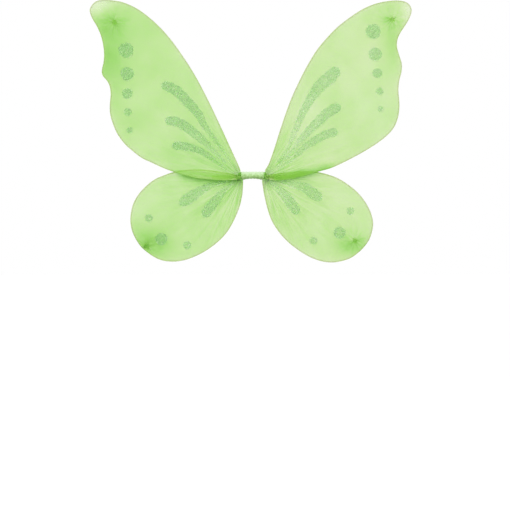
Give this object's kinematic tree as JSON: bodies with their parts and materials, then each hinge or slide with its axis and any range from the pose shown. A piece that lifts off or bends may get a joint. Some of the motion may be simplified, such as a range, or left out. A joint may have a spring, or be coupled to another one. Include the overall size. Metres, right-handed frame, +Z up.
{
  "type": "costume fairy wings",
  "caption": "Child's fairy wings: sheer green nylon sleeves on bent wire loops, taped to a short centre bar, with elastic arm loops behind.",
  "frame": {"origin": "middle of the flat back face of the centre bar, where it rests on the wearer's back", "axes": "+Z up as worn, +X to the right seen from the display side, +Y towards the wearer; the display side faces -Y"},
  "size_m": [0.4636, 0.1315, 0.3795],
  "materials": {
    "nylon": "sheer stretched lime-green nylon knit, two layers, with glitter glue dots and strokes",
    "wire": "thin dull steel wire, seen pinkish grey through the nylon",
    "tape": "pale green tape wound in a spiral, slightly ridged",
    "thread": "dark green tying thread",
    "elastic": "flat woven green elastic, ribbed along its length"
  },
  "bodies": {
    "centre_bar": {"centre_wrap": "tape", "upper_left_stem": "wire", "upper_right_stem": "wire", "lower_left_stem": "wire", "lower_right_stem": "wire"},
    "left_root": {"left_root_binding": "tape"},
    "right_root": {"right_root_binding": "tape"},
    "upper_left_wing": {"upper_left_wire": "wire", "upper_left_sleeve": "nylon", "upper_left_tip_tie": "thread"},
    "upper_right_wing": {"upper_right_wire": "wire", "upper_right_sleeve": "nylon", "upper_right_tip_tie": "thread"},
    "lower_left_wing": {"lower_left_wire": "wire", "lower_left_sleeve": "nylon", "lower_left_tip_tie": "thread"},
    "lower_right_wing": {"lower_right_wire": "wire", "lower_right_sleeve": "nylon", "lower_right_tip_tie": "thread"},
    "left_arm_loop": {"left_strap": "elastic", "left_strap_tack": "thread"},
    "right_arm_loop": {"right_strap": "elastic", "right_strap_tack": "thread"}
  },
  "joints": [
    {"name": "left_fold", "type": "hinge", "parent": "centre_bar", "child": "left_root", "pos_m": [-0.0175, -0.0048, 0], "axis": [0, 0, 1], "range_deg": [-10, 80]},
    {"name": "right_fold", "type": "hinge", "parent": "centre_bar", "child": "right_root", "pos_m": [0.0175, -0.0048, 0], "axis": [0, 0, -1], "range_deg": [-10, 80]},
    {"name": "upper_left_fan", "type": "hinge", "parent": "left_root", "child": "upper_left_wing", "pos_m": [-0.0175, -0.0048, 0], "axis": [0, 1, 0], "range_deg": [-8, 10]},
    {"name": "upper_right_fan", "type": "hinge", "parent": "right_root", "child": "upper_right_wing", "pos_m": [0.0175, -0.0048, 0], "axis": [0, -1, 0], "range_deg": [-8, 10]},
    {"name": "lower_left_fan", "type": "hinge", "parent": "left_root", "child": "lower_left_wing", "pos_m": [-0.0175, -0.0048, 0], "axis": [0, 1, 0], "range_deg": [-8, 8]},
    {"name": "lower_right_fan", "type": "hinge", "parent": "right_root", "child": "lower_right_wing", "pos_m": [0.0175, -0.0048, 0], "axis": [0, -1, 0], "range_deg": [-8, 8]},
    {"name": "left_arm_loop_swing", "type": "hinge", "parent": "centre_bar", "child": "left_arm_loop", "pos_m": [-0.0072, 0.0033, 0], "axis": [1, 0, 0], "range_deg": [-70, 75]},
    {"name": "right_arm_loop_swing", "type": "hinge", "parent": "centre_bar", "child": "right_arm_loop", "pos_m": [0.0072, 0.0033, 0], "axis": [1, 0, 0], "range_deg": [-70, 75]}
  ]
}
